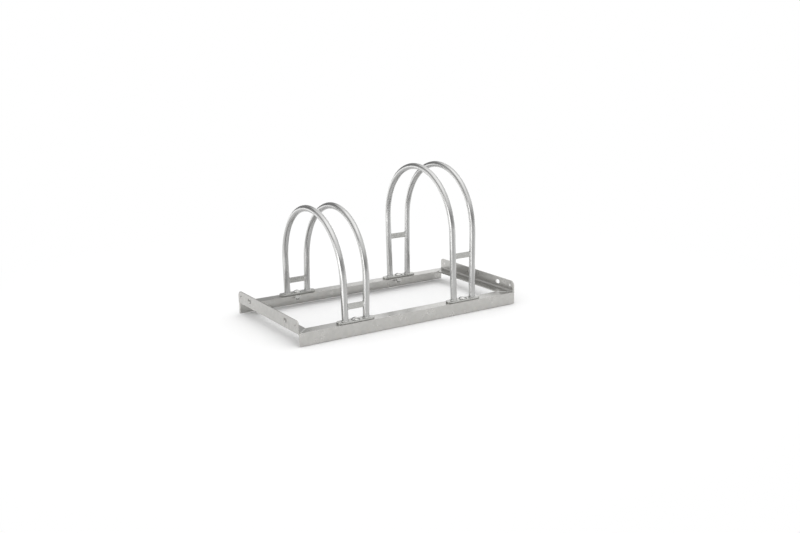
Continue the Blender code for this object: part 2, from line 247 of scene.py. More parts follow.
cloth = CLOTH
for middle, height, half_width, half_height, level in PANELS.values():
    across = within(bearing.outputs[0], middle, half_width)
    up = within(rise.outputs[0], height, half_height)
    panel = add_node(tree, "ShaderNodeMath", {0: across.outputs[0], 1: up.outputs[0]},
                     operation="MULTIPLY")
    cloth = add_node(tree, "ShaderNodeMix", {0: panel.outputs[0], 2: cloth, 3: level}).outputs[0]
path = add_node(tree, "ShaderNodeLightPath")
seen_cloth = add_node(tree, "ShaderNodeMix", {0: path.outputs["Is Camera Ray"], 2: cloth, 3: 1.0})
soft_light = add_node(tree, "ShaderNodeMath", {0: towards["X"], 1: -FROM_LEFT, 2: SOFT_LIGHT},
                      operation="MULTIPLY_ADD")
soft_light = add_node(tree, "ShaderNodeMath",
                      {0: towards["Y"], 1: -FROM_FRONT, 2: soft_light.outputs[0]},
                      operation="MULTIPLY_ADD")
strength = add_node(tree, "ShaderNodeMix",
                    {0: seen_directly(tree), 2: soft_light.outputs[0], 3: seen_cloth.outputs[0]})
tent = add_node(tree, "ShaderNodeBackground", {"Color": WHITE_LIGHT, "Strength": strength.outputs[0]})
add_node(tree, "ShaderNodeOutputWorld", {"Surface": tent.outputs[0]})

soft_box = bpy.data.lights.new("overhead_soft_box", "AREA")
soft_box.shape = "SQUARE"
soft_box.size = SOFT_BOX_SIZE
soft_box.energy = SOFT_BOX_WATTS
overhead = bpy.data.objects.new("overhead_soft_box", soft_box)
overhead.location = SOFT_BOX_PLACE
overhead.rotation_euler = Vector(SOFT_BOX_PLACE).to_track_quat("Z", "Y").to_euler()
overhead.visible_camera = False
bpy.context.scene.collection.objects.link(overhead)

# Ground rails, front and rear
# Two lengths of hot-rolled steel angle that stand on their lower legs, mitred at both ends and drilled
# for the bolts. The finished frame is dipped in molten zinc, which rounds every edge a little.
ANGLE_WIDTH = 0.0375
SHEET = 0.003
HEEL_RADIUS = 0.0015
ROOT_RADIUS = 0.0045
TOE_RADIUS = 0.0018
EDGE_STEPS = 4
ROOT_STEPS = 8
CORNER_STEPS = 10
SOFT_EDGE = 0.0005
BOLT_HOLE = 0.011
HOLE_SIDES = 32
DRILL_LENGTH = 6 * SHEET
CLOUD_SIZE = 0.035
CLOUD_SHARE = 0.55
PAIRS = ("low", "high")
# Two coordinates this close are the same but for rounding.
SAME_PLACE = 1e-5
# Edges that bend more than this are rounded, and those past the second angle are shaded sharp.
ROUNDED_PAST = math.radians(40)
SHARP_PAST = math.radians(50)


def near(value, target):
    """Whether two coordinates are the same but for rounding."""
    return abs(value - target) < SAME_PLACE


def select(kind, test):
    """In edit mode, selects just the points, edges or faces whose corners all pass the test."""
    bpy.ops.mesh.select_mode(type=kind)
    bpy.ops.mesh.select_all(action="DESELECT")
    cage = bmesh.from_edit_mesh(bpy.context.edit_object.data)
    for item in {"VERT": cage.verts, "EDGE": cage.edges, "FACE": cage.faces}[kind]:
        corners = [item] if kind == "VERT" else item.verts
        if all(test(*corner.co) for corner in corners):
            item.select_set(True)
    cage.select_flush_mode()
    bmesh.update_edit_mesh(bpy.context.edit_object.data)


def named(name):
    """Names the primitive that was just added, and puts its place, turn and scale in its mesh."""
    piece = bpy.context.object
    piece.name = name
    piece.data.name = name
    bpy.ops.object.transform_apply()
    return piece


def apply_modifier(piece, kind, **settings):
    """Gives the piece a modifier with these settings, and applies it."""
    modifier = piece.modifiers.new(kind.lower(), kind)
    for key, value in settings.items():
        setattr(modifier, key, value)
    bpy.context.view_layer.objects.active = piece
    bpy.ops.object.modifier_apply(modifier=modifier.name)


def cut(piece, operation="DIFFERENCE"):
    """Takes the tool that was just added away from the piece, or keeps only what lies inside it."""
    tool = bpy.context.object
    apply_modifier(piece, "BOOLEAN", operation=operation, object=tool)
    bpy.data.objects.remove(tool)


def drill(piece, diameter, centre, turn=(0, 0, 0), stretch=0.0):
    """Bores a hole through the sheet at the centre, along Z before it is turned.

    Stretch pushes its halves apart along X, which makes it a slot.
    """
    bpy.ops.object.select_all(action="DESELECT")
    bpy.ops.mesh.primitive_cylinder_add(
        vertices=HOLE_SIDES, radius=diameter / 2, depth=DRILL_LENGTH, location=centre, rotation=turn
    )
    bpy.ops.object.mode_set(mode="EDIT")
    for side in (-1, 1):
        select("VERT", lambda x, y, z: side * x > 0)
        bpy.ops.transform.translate(value=(side * stretch / 2, 0, 0))
    bpy.ops.object.mode_set(mode="OBJECT")
    cut(piece)


def soften(piece, width, segments=2):
    """Rounds the sharp edges, and shades the piece so that its flat faces stay flat."""
    apply_modifier(piece, "BEVEL", width=width, segments=segments, limit_method="ANGLE",
                   angle_limit=ROUNDED_PAST)
    bpy.ops.object.select_all(action="DESELECT")
    piece.select_set(True)
    bpy.ops.object.shade_smooth_by_angle(angle=SHARP_PAST)
    apply_modifier(piece, "WEIGHTED_NORMAL", keep_sharp=True)


def copy_of(piece, name, turn=0.0, move=(0, 0, 0)):
    """A copy with a mesh of its own, turned about the stand's upright axis and then moved."""
    copy = piece.copy()
    copy.name = name
    copy.data = piece.data.copy()
    copy.data.name = name
    copy.data.transform(Matrix.Translation(move) @ Matrix.Rotation(turn, 4, "Z"))
    bpy.context.scene.collection.objects.link(copy)
    return copy


def rolled_angle(name, reach, half_length, heel, toe, corner_radius=0.0):
    """A mitred angle along X with its outer face at y = -reach.

    Its flange lies inwards from the heel's height, and its other leg goes from there to the toe's.
    With a corner radius, that leg's two free corners are round, and otherwise its free edge is.
    """
    bpy.ops.object.select_all(action="DESELECT")
    bpy.ops.mesh.primitive_plane_add(
        size=1, location=(0, ANGLE_WIDTH / 2 - reach, heel),
        rotation=(0 if toe < heel else math.pi, 0, 0)
    )
    bpy.context.object.scale = (2 * half_length, ANGLE_WIDTH, 1)
    piece = named(name)
    bpy.ops.object.mode_set(mode="EDIT")
    select("EDGE", lambda x, y, z: near(y, -reach))
    bpy.ops.mesh.extrude_region_move(TRANSFORM_OT_translate={"value": (0, 0, toe - heel)})
    bpy.ops.object.mode_set(mode="OBJECT")
    apply_modifier(piece, "SOLIDIFY", thickness=SHEET, offset=-1, use_even_offset=True)
    inside = heel + math.copysign(SHEET, toe - heel)
    bpy.ops.object.mode_set(mode="EDIT")
    select("EDGE", lambda x, y, z: near(y, -reach) and near(z, heel))
    bpy.ops.mesh.bevel(offset=HEEL_RADIUS, segments=EDGE_STEPS)
    select("EDGE", lambda x, y, z: near(y, SHEET - reach) and near(z, inside))
    bpy.ops.mesh.bevel(offset=ROOT_RADIUS, segments=ROOT_STEPS)
    for side in (-1, 1):
        if corner_radius:
            select("EDGE", lambda x, y, z: near(x, side * half_length) and near(z, toe))
            bpy.ops.mesh.bevel(offset=corner_radius, segments=CORNER_STEPS)
        bpy.ops.mesh.select_all(action="SELECT")
        bpy.ops.mesh.bisect(
            plane_co=(side * half_length, -reach, 0), plane_no=(side, 1, 0), clear_outer=True,
            use_fill=True
        )
    if not corner_radius:
        select("EDGE", lambda x, y, z: near(y, -reach) and near(z, toe))
        bpy.ops.mesh.bevel(offset=TOE_RADIUS, segments=EDGE_STEPS)
    bpy.ops.object.mode_set(mode="OBJECT")
    return piece


def galvanised(name, dark, light, roughness, haze, spangle, ripple, ripple_depth, tilt, unbent=False):
    """Zinc that has frozen on steel from a bath.

    Its roughness varies by haze either way. Each crystal of the spangle, given by its size, leans by up
    to tilt from its neighbours, and its tone between dark and light is mixed with that of wide clouds.
    Ripple is the length of the slow waves that the zinc froze in, and ripple_depth their depth. On a bent
    tube all of it follows the tube's attribute "unbent".
    """
    material, tree, shader = new_material(name)
    place_on_steel = add_node(tree, "ShaderNodeTexCoord").outputs["Object"]
    if unbent:
        place_on_steel = add_node(tree, "ShaderNodeAttribute", attribute_name="unbent").outputs["Vector"]

    warp = add_node(tree, "ShaderNodeTexNoise",
                    {"Vector": place_on_steel, "Scale": 1 / spangle, "Detail": 2.0})
    warp = add_node(tree, "ShaderNodeVectorMath", {0: warp.outputs["Color"], 1: (spangle / 3,) * 3},
                    operation="MULTIPLY")
    warp = add_node(tree, "ShaderNodeVectorMath", {0: warp.outputs[0], 1: place_on_steel}, operation="ADD")
    crystal = add_node(tree, "ShaderNodeTexVoronoi", {"Vector": warp.outputs[0], "Scale": 1 / spangle})
    crystal_tone = add_node(tree, "ShaderNodeSeparateColor", {0: crystal.outputs["Color"]})
    cloud = add_node(tree, "ShaderNodeTexNoise",
                     {"Vector": place_on_steel, "Scale": 1 / CLOUD_SIZE, "Detail": 4.0, "Roughness": 0.6})
    tone = add_node(tree, "ShaderNodeMix",
                    {0: CLOUD_SHARE, 2: crystal_tone.outputs[0], 3: cloud.outputs["Fac"]})
    colour = add_node(tree, "ShaderNodeMix", {0: tone.outputs[0], 6: linear(dark), 7: linear(light)},
                      data_type="RGBA")
    tree.links.new(colour.outputs[2], shader.inputs["Base Color"])
    shader.inputs["Metallic"].default_value = 1
    gloss = add_node(tree, "ShaderNodeMapRange",
                     {0: tone.outputs[0], 1: 0.25, 2: 0.75, 3: roughness + haze, 4: roughness - haze})
    tree.links.new(gloss.outputs[0], shader.inputs["Roughness"])

    lean = add_node(tree, "ShaderNodeVectorMath", {0: crystal.outputs["Color"], 1: (0.5, 0.5, 0.5)},
                    operation="SUBTRACT")
    lean = add_node(tree, "ShaderNodeVectorMath", {0: lean.outputs[0], "Scale": 2 * math.tan(tilt)},
                    operation="SCALE")
    facing = add_node(tree, "ShaderNodeNewGeometry").outputs["Normal"]
    facing = add_node(tree, "ShaderNodeVectorMath", {0: facing, 1: lean.outputs[0]}, operation="ADD")
    facing = add_node(tree, "ShaderNodeVectorMath", {0: facing.outputs[0]}, operation="NORMALIZE")
    waves = add_node(tree, "ShaderNodeTexNoise",
                     {"Vector": place_on_steel, "Scale": 1 / ripple, "Detail": 3.0, "Roughness": 0.55})
    bump = add_node(tree, "ShaderNodeBump", {"Height": waves.outputs["Fac"], "Distance": ripple_depth,
                                             "Normal": facing.outputs[0]})
    tree.links.new(bump.outputs[0], shader.inputs["Normal"])
    return material


# Hot-rolled angle galvanises dull: a soft grey with a faint spangle and cloudy patches, and its mill
# scale leaves the zinc slightly uneven.
angle_zinc = galvanised("hot_dip_galvanised_angle", "#AAA9A6", "#B8B7B4", roughness=0.30, haze=0.03,
                        spangle=0.009, ripple=0.014, ripple_depth=0.00007, tilt=math.radians(0.3))

rail_low, rail_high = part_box("front_rail")
rail_top = rail_high.z
half_length, half_depth = cad_high.x, cad_high.y
front_rail = rolled_angle("front_ground_rail", half_depth, half_length, rail_top, rail_low.z)
for pair in PAIRS:
    bolt_low, bolt_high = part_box(f"{pair}_front_bolt")
    place = (bolt_low + bolt_high) / 2
    drill(front_rail, BOLT_HOLE, (place.x, place.y, rail_top))
soften(front_rail, SOFT_EDGE)
rear_rail = copy_of(front_rail, "rear_ground_rail", turn=math.pi)
for rail, node in ((front_rail, "front_rail"), (rear_rail, "rear_rail")):
    rail.data.materials.append(angle_zinc)
    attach(rail, "root")
    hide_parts(node)

# End angles, left and right
# The same angle turned up, so that its upright is a low fence at each end of the stand. Its top corners
# are rounded off, and two slots and two holes take the bolts and pins that join stands in a row.
CORNER_RADIUS = 0.015
JOIN_SLOT_LENGTH = 0.019
JOIN_SLOT_HEIGHT = 0.0125
JOIN_SLOT_INSET = 0.078
PIN_HOLE = 0.0075
PIN_HOLE_INSET = 0.0185
HOLE_DROP = 0.015

end_low, end_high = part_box("left_end_angle")
end = rolled_angle("left_end_upright", half_length, half_depth, end_low.z, end_high.z, CORNER_RADIUS)
slot_stretch = JOIN_SLOT_LENGTH - JOIN_SLOT_HEIGHT
through_upright = (math.pi / 2, 0, 0)
for side in (-1, 1):
    centre = Vector((side * (half_depth - JOIN_SLOT_INSET), -half_length, end_high.z - HOLE_DROP))
    drill(end, JOIN_SLOT_HEIGHT, centre, turn=through_upright, stretch=slot_stretch)
    centre.x = side * (half_depth - PIN_HOLE_INSET)
    drill(end, PIN_HOLE, centre, turn=through_upright)
soften(end, SOFT_EDGE)
right_end = copy_of(end, "right_end_upright", turn=math.pi / 2)
end.data.transform(Matrix.Rotation(-math.pi / 2, 4, "Z"))
for piece, node in ((end, "left_end_angle"), (right_end, "right_end_angle")):
    piece.data.materials.append(angle_zinc)
    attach(piece, "root")
    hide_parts(node)

# Corner welds
# A low bead of weld metal along each mitre on top of the frame, from the inner corner to the foot of the
# upright. The zinc has filled its ripples.
MITRE_BEAD_WIDTH = 0.0045
MITRE_BEAD_HEIGHT = 0.0008
RIPPLE_PITCH = 0.0016
RIPPLE_SHARE = 0.10
LUMP_SIZE = 0.003
BEAD_SIDES = 12
BEAD_END = 0.3
FRONT_REAR = {"front": -1, "rear": 1}
LEFT_RIGHT = {"left": -1, "right": 1}


def lumpy(piece, height):
    """Makes a weld of this height uneven by up to a sixth of it, because it is laid by hand."""
    lumps = bpy.data.textures.new("weld_lumps", "CLOUDS")
    lumps.noise_scale = LUMP_SIZE
    apply_modifier(piece, "DISPLACE", texture=lumps, texture_coords="LOCAL", strength=height / 3,
                   mid_level=0.5)
    bpy.data.textures.remove(lumps)
    bpy.ops.object.select_all(action="DESELECT")
    piece.select_set(True)
    bpy.ops.object.shade_smooth()


def weld_bead(name, length, width, height):
    """A bead along X on z = 0, drawn out ring by ring. Every second ring is a ripple."""
    steps = 2 * round(length / RIPPLE_PITCH)

    def size(step):
        taper = (1 - abs(2 * step / steps - 1) ** 3) ** 0.5
        return max(taper, BEAD_END) * (1 + RIPPLE_SHARE * (-1) ** step)

    start = -length / 2
    bpy.ops.object.select_all(action="DESELECT")
    bpy.ops.mesh.primitive_circle_add(
        vertices=BEAD_SIDES, radius=size(0), fill_type="NGON", location=(start, 0, 0),
        rotation=(0, math.pi / 2, 0)
    )
    bead = named(name)
    bpy.ops.object.mode_set(mode="EDIT")
    bpy.ops.mesh.select_all(action="SELECT")
    for step in range(1, steps + 1):
        place = start + length * step / steps
        grow = size(step) / size(step - 1)
        bpy.ops.mesh.extrude_region_move(TRANSFORM_OT_translate={"value": (length / steps, 0, 0)})
        bpy.ops.transform.resize(value=(1, grow, grow), center_override=(place, 0, 0))
    bpy.ops.mesh.select_all(action="SELECT")
    bpy.ops.transform.resize(value=(1, width / 2, height), center_override=(0, 0, 0))
    bpy.ops.mesh.normals_make_consistent(inside=False)
    bpy.ops.object.mode_set(mode="OBJECT")
    apply_modifier(bead, "SUBSURF", levels=1, render_levels=1)
    lumpy(bead, height)
    bpy.ops.object.mode_set(mode="EDIT")
    select("VERT", lambda x, y, z: z < 0)
    bpy.ops.transform.resize(value=(1, 1, 0), center_override=(0, 0, 0))
    bpy.ops.object.mode_set(mode="OBJECT")
    return bead


# Weld metal takes a thicker, whiter zinc than rolled steel, and its ripples glint.
weld_zinc = galvanised("hot_dip_galvanised_weld", "#AFAFAD", "#C6C6C4", roughness=0.30, haze=0.06,
                       spangle=0.003, ripple=0.002, ripple_depth=0.00012, tilt=math.radians(3))

mitre_from = ANGLE_WIDTH
mitre_to = SHEET + ROOT_RADIUS / 2
mitre_length = (mitre_from - mitre_to) * math.sqrt(2)
mitre_middle = (mitre_from + mitre_to) / 2
mitre_bead = weld_bead("corner_weld", mitre_length, MITRE_BEAD_WIDTH, MITRE_BEAD_HEIGHT)
for row, side in product(FRONT_REAR, LEFT_RIGHT):
    way_x, way_y = LEFT_RIGHT[side], FRONT_REAR[row]
    slant = math.atan2(-way_y, -way_x)
    middle = (way_x * (half_length - mitre_middle), way_y * (half_depth - mitre_middle), rail_top)
    weld = copy_of(mitre_bead, f"{row}_{side}_corner_weld", turn=slant, move=middle)
    weld.data.materials.append(weld_zinc)
    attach(weld, "root")
bpy.data.objects.remove(mitre_bead)

# Tube arches
# Each is one length of round steel tube bent to a half circle between two straight legs. The two of a
# pair lean apart, so that the wheel slot widens upwards, and their feet are cut level.
TUBE_DIAMETER = 0.018
TUBE_WALL = 0.002
TUBE_SIDES = 48
BEND_STEPS = 96
MERGE_GAP = 1e-6
DRAWN_OUT = 8
SMEAR = 0.9

# Thin tube cools fast, so its zinc is bright and smooth. Its fine grain and small lumps are drawn out
# along the tube, and what it mirrors is smeared the same way, which gives long streaks of light.
tube_zinc = galvanised("hot_dip_galvanised_tube", "#A0A09F", "#B6B6B5", roughness=0.18, haze=0.03,
                       spangle=0.004, ripple=0.004, ripple_depth=0.0001, tilt=math.radians(1.0),
                       unbent=True)
tree = tube_zinc.node_tree
shader = tree.nodes["Principled BSDF"]
shader.inputs["Anisotropic"].default_value = SMEAR
along = add_node(tree, "ShaderNodeAttribute", attribute_name="along")
tree.links.new(along.outputs["Vector"], shader.inputs["Tangent"])


def mark_along(tube, bend_radius, bend_z):
    """Stores each point's place on the unbent tube, drawn out along it, and which way the tube runs."""
    unbent = tube.data.attributes.new("unbent", "FLOAT_VECTOR", "POINT")
    along = tube.data.attributes.new("along", "FLOAT_VECTOR", "POINT")
    for point, place, way in zip(tube.data.vertices, unbent.data, along.data):
        x, y, z = point.co
        above = max(z - bend_z, 0)
        turn = math.atan2(above, -y)
        run = bend_radius * turn + math.copysign(min(z - bend_z, 0), y)
        place.vector = (x, math.hypot(y, above) - bend_radius, run / DRAWN_OUT)
        way.vector = (0, math.sin(turn), math.cos(turn))


half_tube = TUBE_DIAMETER / 2
plate_low, plate_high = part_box("low_front_foot_plate")
plate_top = plate_high.z
tubes = {}
for pair in PAIRS:
    arch_low, arch_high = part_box(f"{pair}_arch_left")
    bend_radius = arch_high.y - half_tube
    foot_x = arch_high.x - half_tube
    crown_x = arch_low.x + half_tube
    crown_z = arch_high.z - half_tube
    lean = math.atan((foot_x - crown_x) / (crown_z - rail_top))
    bend_z = rail_top + (crown_z - rail_top) / math.cos(lean) - bend_radius
    bpy.ops.object.select_all(action="DESELECT")
    bpy.ops.mesh.primitive_circle_add(
        vertices=TUBE_SIDES, radius=half_tube, location=(foot_x, -bend_radius, plate_top)
    )
    tube = named(f"{pair}_left_tube_arch")
    bpy.ops.object.mode_set(mode="EDIT")
    bpy.ops.mesh.select_all(action="SELECT")
    bpy.ops.mesh.extrude_region_move(TRANSFORM_OT_translate={"value": (0, 0, bend_z - plate_top)})
    bpy.ops.mesh.spin(steps=BEND_STEPS, angle=math.pi, center=(foot_x, 0, bend_z), axis=(1, 0, 0))
    select("VERT", lambda x, y, z: y > 0 and z < bend_z + MERGE_GAP)
    bpy.ops.mesh.extrude_region_move(TRANSFORM_OT_translate={"value": (0, 0, plate_top - bend_z)})
    bpy.ops.mesh.select_all(action="SELECT")
    bpy.ops.mesh.remove_doubles(threshold=MERGE_GAP)
    bpy.ops.mesh.normals_make_consistent(inside=False)
    bpy.ops.object.mode_set(mode="OBJECT")
    apply_modifier(tube, "SOLIDIFY", thickness=TUBE_WALL, offset=-1, use_even_offset=True)
    tilt = Matrix.Translation((foot_x, 0, rail_top)) @ Matrix.Rotation(-lean, 4, "Y")
    tube.data.transform(tilt @ Matrix.Translation((-foot_x, 0, -rail_top)))
    bpy.ops.object.mode_set(mode="EDIT")
    select("VERT", lambda x, y, z: z < plate_top + half_tube)
    bpy.ops.transform.resize(value=(1, 1, 0), center_override=(0, 0, plate_top))
    bpy.ops.object.mode_set(mode="OBJECT")
    middle_x = sum(corner.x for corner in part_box(f"{pair}_front_foot_plate")) / 2
    tubes[pair] = {"foot_x": foot_x, "middle_x": middle_x, "row_y": bend_radius, "lean": lean}
    other = copy_of(tube, f"{pair}_right_tube_arch", turn=math.pi, move=(2 * middle_x, 0, 0))
    for piece, node in ((tube, f"{pair}_arch_left"), (other, f"{pair}_arch_right")):
        mark_along(piece, bend_radius, bend_z)
        piece.data.materials.append(tube_zinc)
        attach(piece, "root")
        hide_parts(node)
        bpy.ops.object.select_all(action="DESELECT")
        piece.select_set(True)
        bpy.ops.object.shade_smooth_by_angle(angle=SHARP_PAST)

# Wheel bars
# A short flat bar joins the two tubes of each pair, front and rear, and stops the wheel. Its ends are
# cut to the lean of the tubes and reach into their round sides.
FLAT_BAR_EDGE = 0.0008
FLAT_BAR_STEPS = 3
BAR_BITE = 0.0006

# Flat bar takes a smoother coat than angle: a light grey with a fine, faint spangle.
flat_zinc = galvanised("hot_dip_galvanised_flat_bar", "#A2A29F", "#B2B2AF", roughness=0.28, haze=0.03,
                       spangle=0.006, ripple=0.008, ripple_depth=0.0001, tilt=math.radians(0.6))


def leg_side(pair, height, depth):
    """Where a pair's left tube has its inner side at a height, less a depth, and how that side faces."""
    lean = tubes[pair]["lean"]
    axis = Vector((tubes[pair]["foot_x"] - (height - rail_top) * math.tan(lean), 0, height))
    facing = Vector((math.cos(lean), 0, math.sin(lean)))
    return axis + (half_tube - depth) * facing, facing


for pair, row in product(PAIRS, FRONT_REAR):
    bar_low, bar_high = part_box(f"{pair}_{row}_wheel_bar")
    middle = (bar_low + bar_high) / 2
    bpy.ops.object.select_all(action="DESELECT")
    bpy.ops.mesh.primitive_cube_add(size=1, location=middle)
    bpy.context.object.scale = (bar_high.x - bar_low.x + TUBE_DIAMETER, *(bar_high - bar_low).yz)
    bar = named(f"{pair}_{row}_wheel_stop")
    place, facing = leg_side(pair, middle.z, BAR_BITE)
    bpy.ops.object.mode_set(mode="EDIT")
    for side in (-1, 1):
        bpy.ops.mesh.select_all(action="SELECT")
        bpy.ops.mesh.bisect(
            plane_co=(middle.x + side * (middle.x - place.x), 0, place.z),
            plane_no=(side * facing.x, 0, -facing.z), clear_outer=True, use_fill=True
        )
    bpy.ops.object.mode_set(mode="OBJECT")
    soften(bar, FLAT_BAR_EDGE, segments=FLAT_BAR_STEPS)
    bar.data.materials.append(flat_zinc)
    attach(bar, "root")
    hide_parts(f"{pair}_{row}_wheel_bar")

# Bar welds
# A fillet along both faces of each bar end, where it meets the round side of the tube. It is laid by
# hand, and its ripples and lumps show through the zinc.
BAR_BEAD_LENGTH = 0.0175
BAR_BEAD_WIDTH = 0.0050
BAR_BEAD_HEIGHT = 0.0021

bar_bead = weld_bead("bar_weld", BAR_BEAD_LENGTH, BAR_BEAD_WIDTH, BAR_BEAD_HEIGHT)
for pair, row in product(PAIRS, FRONT_REAR):
    bar_low, bar_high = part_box(f"{pair}_{row}_wheel_bar")
    middle = (bar_low + bar_high) / 2
    half_bar = (bar_high.y - bar_low.y) / 2
    behind_tangent = half_tube - math.sqrt(half_tube ** 2 - half_bar ** 2)
    place, facing = leg_side(pair, middle.z, behind_tangent)
    for side, face in product(LEFT_RIGHT, FRONT_REAR):
        way_x, way_y = LEFT_RIGHT[side], FRONT_REAR[face]
        up_the_tube = Vector((way_x * facing.z, 0, facing.x))
        outwards = Vector((-way_x * facing.x, way_y, facing.z)).normalized()
        axes = Matrix((up_the_tube, outwards.cross(up_the_tube), outwards)).transposed().to_4x4()
        spot = Vector((middle.x + way_x * (middle.x - place.x), middle.y + way_y * half_bar, middle.z))
        weld = copy_of(bar_bead, f"{pair}_{row}_{side}_{face}_bar_weld")
        weld.data.transform(Matrix.Translation(spot) @ axes)
        weld.data.materials.append(weld_zinc)
        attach(weld, "root")
bpy.data.objects.remove(bar_bead)

# Foot plates
# Each pair of tubes stands on two lengths of flat bar with round ends, one on each rail. A square hole
# in the middle holds the neck of the coach bolt.
SQUARE_HOLE = 0.011
PLATE_EDGE = 0.0004
PLATE_SIDES = 48

for pair, row in product(PAIRS, FRONT_REAR):
    plate_low, plate_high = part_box(f"{pair}_{row}_foot_plate")
    middle = (plate_low + plate_high) / 2
    half_width = plate_high.y - middle.y
    straight = plate_high.x - middle.x - half_width
    bpy.ops.object.select_all(action="DESELECT")
    bpy.ops.mesh.primitive_cylinder_add(
        vertices=PLATE_SIDES, radius=half_width / math.cos(math.pi / PLATE_SIDES),
        depth=plate_high.z - rail_top, location=(middle.x, middle.y, (plate_high.z + rail_top) / 2),
        rotation=(0, 0, math.pi / PLATE_SIDES)
    )
    plate = named(f"{pair}_{row}_round_ended_foot")
    bpy.ops.object.mode_set(mode="EDIT")
    for side in (-1, 1):
        select("VERT", lambda x, y, z: side * (x - middle.x) > 0)
        bpy.ops.transform.translate(value=(side * straight, 0, 0))
    bpy.ops.object.mode_set(mode="OBJECT")
    bpy.ops.object.select_all(action="DESELECT")
    bpy.ops.mesh.primitive_cube_add(size=SQUARE_HOLE, location=middle)
    cut(plate)
    soften(plate, PLATE_EDGE)
    plate.data.materials.append(flat_zinc)
    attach(plate, "root")
    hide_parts(f"{pair}_{row}_foot_plate")

# Foot welds
# A fillet runs round the foot of every tube and joins it to its plate. It has the ripples of a hand-laid
# weld under its zinc, and each starts at another place, so that no two look alike.
FOOT_BEAD_RADIUS = 0.0016
FOOT_BEAD_STEPS = 48
FOOT_BEAD_SIDES = 10

ring_radius = half_tube + FOOT_BEAD_RADIUS / 5
bpy.ops.object.select_all(action="DESELECT")
bpy.ops.mesh.primitive_torus_add(
    major_radius=ring_radius, minor_radius=FOOT_BEAD_RADIUS, major_segments=FOOT_BEAD_STEPS,
    minor_segments=FOOT_BEAD_SIDES
)
foot_bead = named("foot_weld")
bpy.ops.object.mode_set(mode="EDIT")
for step in range(0, FOOT_BEAD_STEPS, 2):
    turn = 2 * math.pi * step / FOOT_BEAD_STEPS
    ring = Vector((math.cos(turn), math.sin(turn), 0)) * ring_radius
    select("VERT", lambda x, y, z: near((Vector((x, y, z)) - ring).length, FOOT_BEAD_RADIUS)
           and near(x * math.sin(turn), y * math.cos(turn)))
    grow = 1 + 2 * RIPPLE_SHARE
    bpy.ops.transform.resize(value=(grow, grow, grow), center_override=ring)
bpy.ops.object.mode_set(mode="OBJECT")
apply_modifier(foot_bead, "SUBSURF", levels=1, render_levels=1)
lumpy(foot_bead, FOOT_BEAD_RADIUS)
bpy.ops.object.mode_set(mode="EDIT")
select("VERT", lambda x, y, z: z < 0)
bpy.ops.transform.resize(value=(1, 1, 0), center_override=(0, 0, 0))
bpy.ops.object.mode_set(mode="OBJECT")
for number, (pair, row, side) in enumerate(product(PAIRS, FRONT_REAR, LEFT_RIGHT)):
    middle_x = tubes[pair]["middle_x"]
    from_middle = middle_x - leg_side(pair, plate_top, half_tube)[0].x
    x = middle_x + LEFT_RIGHT[side] * from_middle
    y = FRONT_REAR[row] * tubes[pair]["row_y"]
    weld = copy_of(foot_bead, f"{pair}_{row}_{side}_foot_weld", turn=number, move=(x, y, plate_top))
    weld.data.materials.append(weld_zinc)
    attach(weld, "root")
bpy.data.objects.remove(foot_bead)

# Coach bolts
# A domed head holds each foot plate on its rail, and a square neck under it keeps the bolt from turning.
# The bolts, washers and nuts are zinc plated, not dipped, so they are brighter and smoother.
BOLT_DIAMETER = 0.010
BOLT_SIDES = 48
NECK_WIDTH = 0.0104
NECK_CHAMFER = 0.0004
HEAD_RIM = 0.0012
HEAD_EDGE = 0.0003
DOME_STEPS = 13
THREAD_PITCH = 0.0015
THREAD_LENGTH = 0.0135
THREAD_DEPTH = 0.0009
THREAD_RUN_OUT = 0.0005
BOLT_SHARP_PAST = math.radians(35)
# The head is drawn this little above the plate that it sits on, and its crown ends in a ring this small.
HEAD_LIFT = 0.00001
CROWN_RADIUS = 0.00002


def drawn_out(name, centre, profile):
    """A round solid on an upright axis, drawn out ring by ring through the profile's (height, radius)."""
    height, radius = profile[0]
    bpy.ops.object.select_all(action="DESELECT")
    bpy.ops.mesh.primitive_circle_add(
        vertices=BOLT_SIDES, radius=radius, fill_type="NGON", location=(centre.x, centre.y, height)
    )
    piece = named(name)
    bpy.ops.object.mode_set(mode="EDIT")
    bpy.ops.mesh.select_all(action="SELECT")
    for next_height, next_radius in profile[1:]:
        grow = next_radius / radius
        bpy.ops.mesh.extrude_region_move(TRANSFORM_OT_translate={"value": (0, 0, next_height - height)})
        bpy.ops.transform.resize(value=(grow, grow, 1), center_override=(centre.x, centre.y, next_height))
        height, radius = next_height, next_radius
    bpy.ops.mesh.select_all(action="SELECT")
    bpy.ops.mesh.normals_make_consistent(inside=False)
    bpy.ops.object.mode_set(mode="OBJECT")
    return piece


def zinc_plate(dark, light, smooth, hazy, haze_size):
    """Electroplated zinc: bright and even, with only the faint haze of the bath."""
    material, tree, shader = new_material("zinc_plated_steel")
    place_on_bolt = add_node(tree, "ShaderNodeTexCoord").outputs["Object"]
    haze = add_node(tree, "ShaderNodeTexNoise",
                    {"Vector": place_on_bolt, "Scale": 1 / haze_size, "Detail": 3.0})
    colour = add_node(tree, "ShaderNodeMix", {0: haze.outputs["Fac"], 6: linear(dark), 7: linear(light)},
                      data_type="RGBA")
    tree.links.new(colour.outputs[2], shader.inputs["Base Color"])
    shader.inputs["Metallic"].default_value = 1
    gloss = add_node(tree, "ShaderNodeMapRange",
                     {0: haze.outputs["Fac"], 1: 0.3, 2: 0.7, 3: smooth, 4: hazy})
    tree.links.new(gloss.outputs[0], shader.inputs["Roughness"])
    return material


